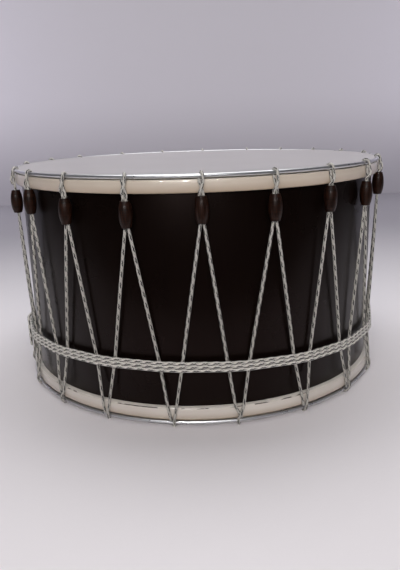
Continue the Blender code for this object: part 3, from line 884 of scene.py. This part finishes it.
# %% Waist cord
crossings = [strand_line(i, sense)[0] for i in range(len(BEADS)) for sense in (-1, 1)]
from_tie = sorted((angle if angle > TIE_ANGLE else angle + 360, z) for angle, z in crossings)
laps = []
for lap in range(WAIST_LAPS):
    for angle, middle in from_tie:
        z = middle + (lap + (angle - TIE_ANGLE) / 360 - WAIST_LAPS / 2) * WAIST_PITCH
        out = strand_radius(z, middle) + CORD_WIDTH + GAP
        laps.append((*place(angle, 0, out, z), CORD_RADIUS))
waist_route = knot(KNOT_START) + laps + knot(KNOT_END)
waist_cord, waist_length = tube("waist_cord_turns", [waist_route], step=0.0018, sealed=True)
dress(waist_cord, waist, "waist_cord", "drum", "waist_cord")
print("waist cord:", round(waist_length, 2), "m of cord")

# %% [markdown]
# ## Head film
# The heads are polyester film about 0.7 mm thick with a frosted coating, which scatters light
# evenly: a cool grey white, nearly matt, with a faint cloudiness from the spray and from hands.
# The clouds are about 140 mm across and the specks of the spray 1.1 mm.

# %% Head film
film, shader = new_finish(
    "frosted_polyester_film", Base_Color=rgb("#aca8ac"), Roughness=0.5, IOR=1.57
)
coords = add(film, "TexCoord", output="Object")
haze = add(film, "TexNoise", {"Vector": coords, "Scale": 7.0, "Detail": 4.0})
base = add(
    film, "Mix", {SHARE: haze, FIRST: rgb("#a5a1a5"), SECOND: rgb("#b3afb3")}, data_type="RGBA"
)
link(film, base, shader, "Base Color")
spray = add(film, "TexNoise", {"Vector": coords, "Scale": 900.0, "Detail": 1.0})
bump = add(film, "Bump", {"Height": spray, "Strength": 0.2, "Distance": 0.00006})
link(film, bump, shader, "Normal")
print("made", film.name)

# %% [markdown]
# ## Heads
# Each head is a disc as thick as the film, and reaches the metal ring. The cord needs a way past
# it, so a slot is punched at each turn of the cord: cylinders stand where the slots go, are
# joined, and a Boolean takes them all out of the disc at once.

# %% Punching the slots
SLOT_RADIUS, SLOT_OUT, SLOT_STRETCH = 0.002, 0.2578, (0.9, 1.1, 1)


def punch(head, places, z):
    """Takes a slot out of the film at each place, an angle and a distance sideways."""
    bpy.ops.object.select_all(action="DESELECT")
    cutters = []
    for angle, side in places:
        x, y, z = place(angle, side, SLOT_OUT, z)
        bpy.ops.mesh.primitive_cylinder_add(
            vertices=20, radius=SLOT_RADIUS, depth=SLOT_RADIUS, location=(x, y, z),
            rotation=(0, 0, math.atan2(y, x)),
        )
        bpy.context.object.scale = SLOT_STRETCH
        cutters.append(bpy.context.object)
    select_only(*cutters)
    bpy.ops.object.join()
    cutter = bpy.context.object
    select_only(head)
    slots = head.modifiers.new("slots", "BOOLEAN")
    slots.object, slots.operation, slots.solver = cutter, "DIFFERENCE", "EXACT"
    bpy.ops.object.modifier_apply(modifier="slots")
    bpy.data.objects.remove(cutter)


print("a slot is", round(2 * SLOT_RADIUS * SLOT_STRETCH[1], 4), "m wide")

# %% Heads
FILM_RADIUS = 0.2586
PASSING = -0.2  # where the cord passes the film, as a share of how far it leans
TIE_SIDES = (-0.0068, 0.0059)
upper_places = [(angle, PASSING * UPPER_LEAN) for angle in BEAD_ANGLES]
lower_places = [(angle, PASSING * lean) for angle, lean in zip(V_ANGLES, LOWER_LEANS)]
lower_places += [(TIE_V_ANGLE, side) for side in TIE_SIDES]
for name, places in (("upper_head", upper_places), ("lower_head", lower_places)):
    low, high = span(name)
    middle = (low + high) / 2
    bpy.ops.object.select_all(action="DESELECT")
    bpy.ops.mesh.primitive_cylinder_add(
        vertices=240, radius=FILM_RADIUS, depth=high - low, location=(0, 0, middle)
    )
    head = bpy.context.object
    head.name = head.data.name = "film_" + name
    bpy.ops.object.transform_apply(location=True)
    punch(head, places, middle)
    bpy.ops.object.shade_smooth_by_angle(angle=math.radians(30))
    dress(head, film, "head_film", "drum", name)
    print(head.name, len(head.data.polygons), "faces,", len(places), "slots")

# %% [markdown]
# ## Bead wood
# The beads are turned from a close-grained hardwood and stained a very dark red-brown, then
# waxed. The lathe leaves fine rings round them, 0.7 mm apart, and the grain runs along the bore
# in streaks about 1.7 mm wide, where the stain has taken more or less.

# %% Bead wood
wood, shader = new_finish(
    "stained_turned_wood", Base_Color=rgb("#1a0c06"), Roughness=0.4, IOR=1.26, Coat_Weight=0.1,
    Coat_Roughness=0.2,
)
coords = add(wood, "TexCoord", output="Object")
along = add(wood, "Mapping", {"Vector": coords, "Scale": (600, 600, 60)})
grain = add(wood, "TexNoise", {"Vector": along, "Scale": 1.0, "Detail": 3.0})
across = add(wood, "Mapping", {"Vector": coords, "Scale": (15, 15, 1400)})
turned = add(wood, "TexNoise", {"Vector": across, "Scale": 1.0, "Detail": 1.0})
both = add(wood, "Math", {0: grain, 1: turned}, operation="ADD")
stain = add(wood, "MapRange", {"Value": both, "From Min": 0.75, "From Max": 1.25})
base = add(
    wood, "Mix", {SHARE: stain, FIRST: rgb("#090402"), SECOND: rgb("#2c160d")}, data_type="RGBA"
)
link(wood, base, shader, "Base Color")
bump = add(wood, "Bump", {"Height": turned, "Strength": 0.8, "Distance": 0.0002})
link(wood, bump, shader, "Normal")
print("made", wood.name)

# %% [markdown]
# ## Beads
# A bead is a barrel 30.5 mm long with a straight bore for two strands. One is modelled: a tube
# of 36 sides is cut across into rings, each ring is scaled to the barrel's width, and the mouth
# of the bore is rounded. Two fine grooves are turned near its ends. All twenty are copies of it
# with their own meshes, each turned further round its bore.

# %% The barrel
BEAD_LENGTH, BEAD_RADIUS, BEAD_END, BEAD_BORE = 0.0305, 0.008, 0.0054, 0.0039
SLICES, BARREL_POWER = 24, 2.2
GROOVES, GROOVE_DEPTH = (2, SLICES - 2), 0.00025


def widen(share):
    bpy.ops.transform.resize(value=(share, share, 1), center_override=(0, 0, 0))


bpy.ops.object.select_all(action="DESELECT")
bpy.ops.mesh.primitive_cylinder_add(
    vertices=36, radius=BEAD_RADIUS, depth=BEAD_LENGTH, end_fill_type="NOTHING"
)
model = bpy.context.object
begin_edit(model)
cuts = [BEAD_LENGTH * (k / SLICES - 0.5) for k in range(SLICES + 1)]
for z in cuts[1:-1]:
    bpy.ops.mesh.select_all(action="SELECT")
    bpy.ops.mesh.bisect(plane_co=(0, 0, z), plane_no=(0, 0, 1), use_fill=False)
for k, z in enumerate(cuts):
    share = abs(2 * k / SLICES - 1)
    wide = BEAD_RADIUS - (BEAD_RADIUS - BEAD_END) * share**BARREL_POWER
    if k in GROOVES:
        wide -= GROOVE_DEPTH
    pick(model, lambda p: near(p.z, z))
    widen(wide / BEAD_RADIUS)
print("the barrel has", len(cuts), "rings")

# %% The bore
for z in (cuts[0], cuts[-1]):
    pick(model, lambda p: near(p.z, z))
    bpy.ops.mesh.extrude_region_move()
    widen(BEAD_BORE / BEAD_END)
pick(model, lambda p: near(math.hypot(p.x, p.y), BEAD_BORE))
bpy.ops.mesh.bridge_edge_loops()
bpy.ops.mesh.select_all(action="SELECT")
bpy.ops.mesh.normals_make_consistent(inside=False)
bpy.ops.object.mode_set(mode="OBJECT")
soften = model.modifiers.new("soften", "BEVEL")
soften.width, soften.segments, soften.limit_method = 0.0004, 2, "ANGLE"
soften.angle_limit = math.radians(40)
bpy.ops.object.modifier_apply(modifier="soften")
bpy.ops.object.shade_smooth_by_angle(angle=math.radians(50))
print("one bead has", len(model.data.polygons), "faces")

# %% Twenty beads
TURNED_BY = 47  # degrees from one bead to the next, so that no two show the same side
for i, name in enumerate(BEADS):
    low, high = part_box(name)
    radius = math.hypot((low.x + high.x) / 2, (low.y + high.y) / 2)
    bead = bpy.data.objects.new("turned_" + name, model.data.copy())
    bpy.context.scene.collection.objects.link(bead)
    select_only(bead)
    bead.location = place(BEAD_ANGLES[i], 0, radius, (low.z + high.z) / 2)
    bead.rotation_euler.z = math.radians(TURNED_BY * i)
    bpy.ops.object.transform_apply(location=True, rotation=True, scale=True)
    dress(bead, wood, "bead_wood", name, name)
bpy.data.objects.remove(model)
print("beads:", len(BEADS))

# %% [markdown]
# ## Floor, backdrop and light
# A pale lavender-grey floor and wall, and broad soft lamps. The dark satin shell only shows by
# what it reflects, so the wall on either side has a lamp of its own. The broad front lamp leaves
# no reflection, and four small lamps leave nothing else: they give the lacquer its glints and
# the lower ring its pale line. In the photo the shell has darkness to reflect, so the floor in
# front and the room round it are pale to the camera and dark to every other ray.

# %% Floor and backdrop
WALL_BACK, DARK = 1.9, "#242222"


def paper(name, near_colour, far_colour, start, end, dark_below=-100):
    """A matt paper that changes colour along its plane, from start to end.

    Nearer than dark_below, only the camera sees it pale.
    """
    finish, shader = new_finish(name, Base_Color=rgb(near_colour), Roughness=0.95)
    coords = add(finish, "TexCoord", output="Object")
    along = add(finish, "SeparateXYZ", {0: coords}, output="Y")
    share = add(
        finish, "MapRange", {"Value": along, "From Min": start, "From Max": end},
        interpolation_type="SMOOTHSTEP",
    )
    pale = add(
        finish, "Mix", {SHARE: share, FIRST: rgb(near_colour), SECOND: rgb(far_colour)},
        data_type="RGBA",
    )
    past = add(finish, "Math", {0: along, 1: dark_below}, operation="LESS_THAN")
    to_camera = add(finish, "LightPath", output="Is Camera Ray")
    dark = add(finish, "Math", {0: past, 1: to_camera}, operation="SUBTRACT", use_clamp=True)
    both = add(finish, "Mix", {SHARE: dark, FIRST: pale, SECOND: rgb(DARK)}, data_type="RGBA")
    link(finish, both, shader, "Base Color")
    return finish


def stage_plane(name, finish, size, location, tipped=0):
    bpy.ops.object.select_all(action="DESELECT")
    bpy.ops.mesh.primitive_plane_add(size=size, location=location, rotation=(tipped, 0, 0))
    surface = bpy.context.object
    surface.name = name
    surface.data.materials.append(finish)


# Painted light: floor paler near the drum and darker behind it, wall darker low down.
floor_paper = paper("floor_paper", "#e8e5ea", "#9c99a1", 0, 1.2, dark_below=-0.6)
wall_paper = paper("wall_paper", "#a19ea6", "#cdcad2", -3.9, -3.4)
stage_plane("floor", floor_paper, 9, (0, 0, -0.0002))
stage_plane("wall", wall_paper, 8, (0, WALL_BACK, 3.9), math.pi / 2)
print("made", floor_paper.name, "and", wall_paper.name)

# %% Lamps
def lamp(name, stands, aim, size, watts, tint="#ffffff"):
    made = bpy.data.objects.new(name, bpy.data.lights.new(name, "AREA"))
    bpy.context.scene.collection.objects.link(made)
    made.data.shape, made.data.size, made.data.size_y = "RECTANGLE", *size
    made.data.energy, made.data.color = watts, rgb(tint)[:3]
    made.location = stands
    made.rotation_euler = (Vector(aim) - Vector(stands)).to_track_quat("-Z", "Y").to_euler()
    return made


MID_DRUM = (0, 0, 0.2)
lamp("overhead", (0, 0.4, 1.8), (0, 0.25, 0.1), (1.8, 1.0), 21)
front_lamp = lamp("front", (0, -2.5, 1.3), (0, 0, 0.15), (2.4, 0.7), 46, "#fff9f2")
front_lamp.visible_glossy = False
glint_lamps = [
    lamp(f"low_lamp_{x}", (x, -2.6, 1.0), MID_DRUM, (width, 0.06), watts)
    for x, width, watts in ((-0.91, 0.07, 4.5), (-0.31, 0.19, 10), (0.53, 0.07, 4.5))
]
glint_lamps.append(lamp("ceiling", (-0.27, -1.2, 2.0), MID_DRUM, (0.9, 0.03), 18))
for glint_lamp in glint_lamps:
    glint_lamp.visible_diffuse = False
for name, x, watts in (("left", -1.9, 13), ("right", 1.9, 9)):
    lamp(name, (x, 0.9, 0.8), (x, WALL_BACK, 0.3), (1.0, 1.2), watts, "#f6f4ff")

# %% The room round it
room = bpy.data.worlds.new("room")
bpy.context.scene.world = room
room.use_nodes = True
ray = add(room, "TexCoord", output="Generated")
ray_up = add(room, "SeparateXYZ", {0: ray}, output="Z")
raised = add(room, "MapRange", {"Value": ray_up, "From Min": 0.0, "From Max": 0.5})
gloom = add(
    room, "Mix", {SHARE: raised, FIRST: rgb(DARK), SECOND: rgb("#747377")}, data_type="RGBA"
)
to_camera = add(room, "LightPath", output="Is Camera Ray")
seen = add(
    room, "Mix", {SHARE: to_camera, FIRST: gloom, SECOND: rgb("#b4b1b9")}, data_type="RGBA"
)
link(room, seen, room.node_tree.nodes["Background"], "Color")
bpy.context.scene.view_settings.view_transform = "Standard"
print("made the", room.name)

# %% [markdown]
# ## The end

# %% Update the scene
bpy.context.view_layer.update()
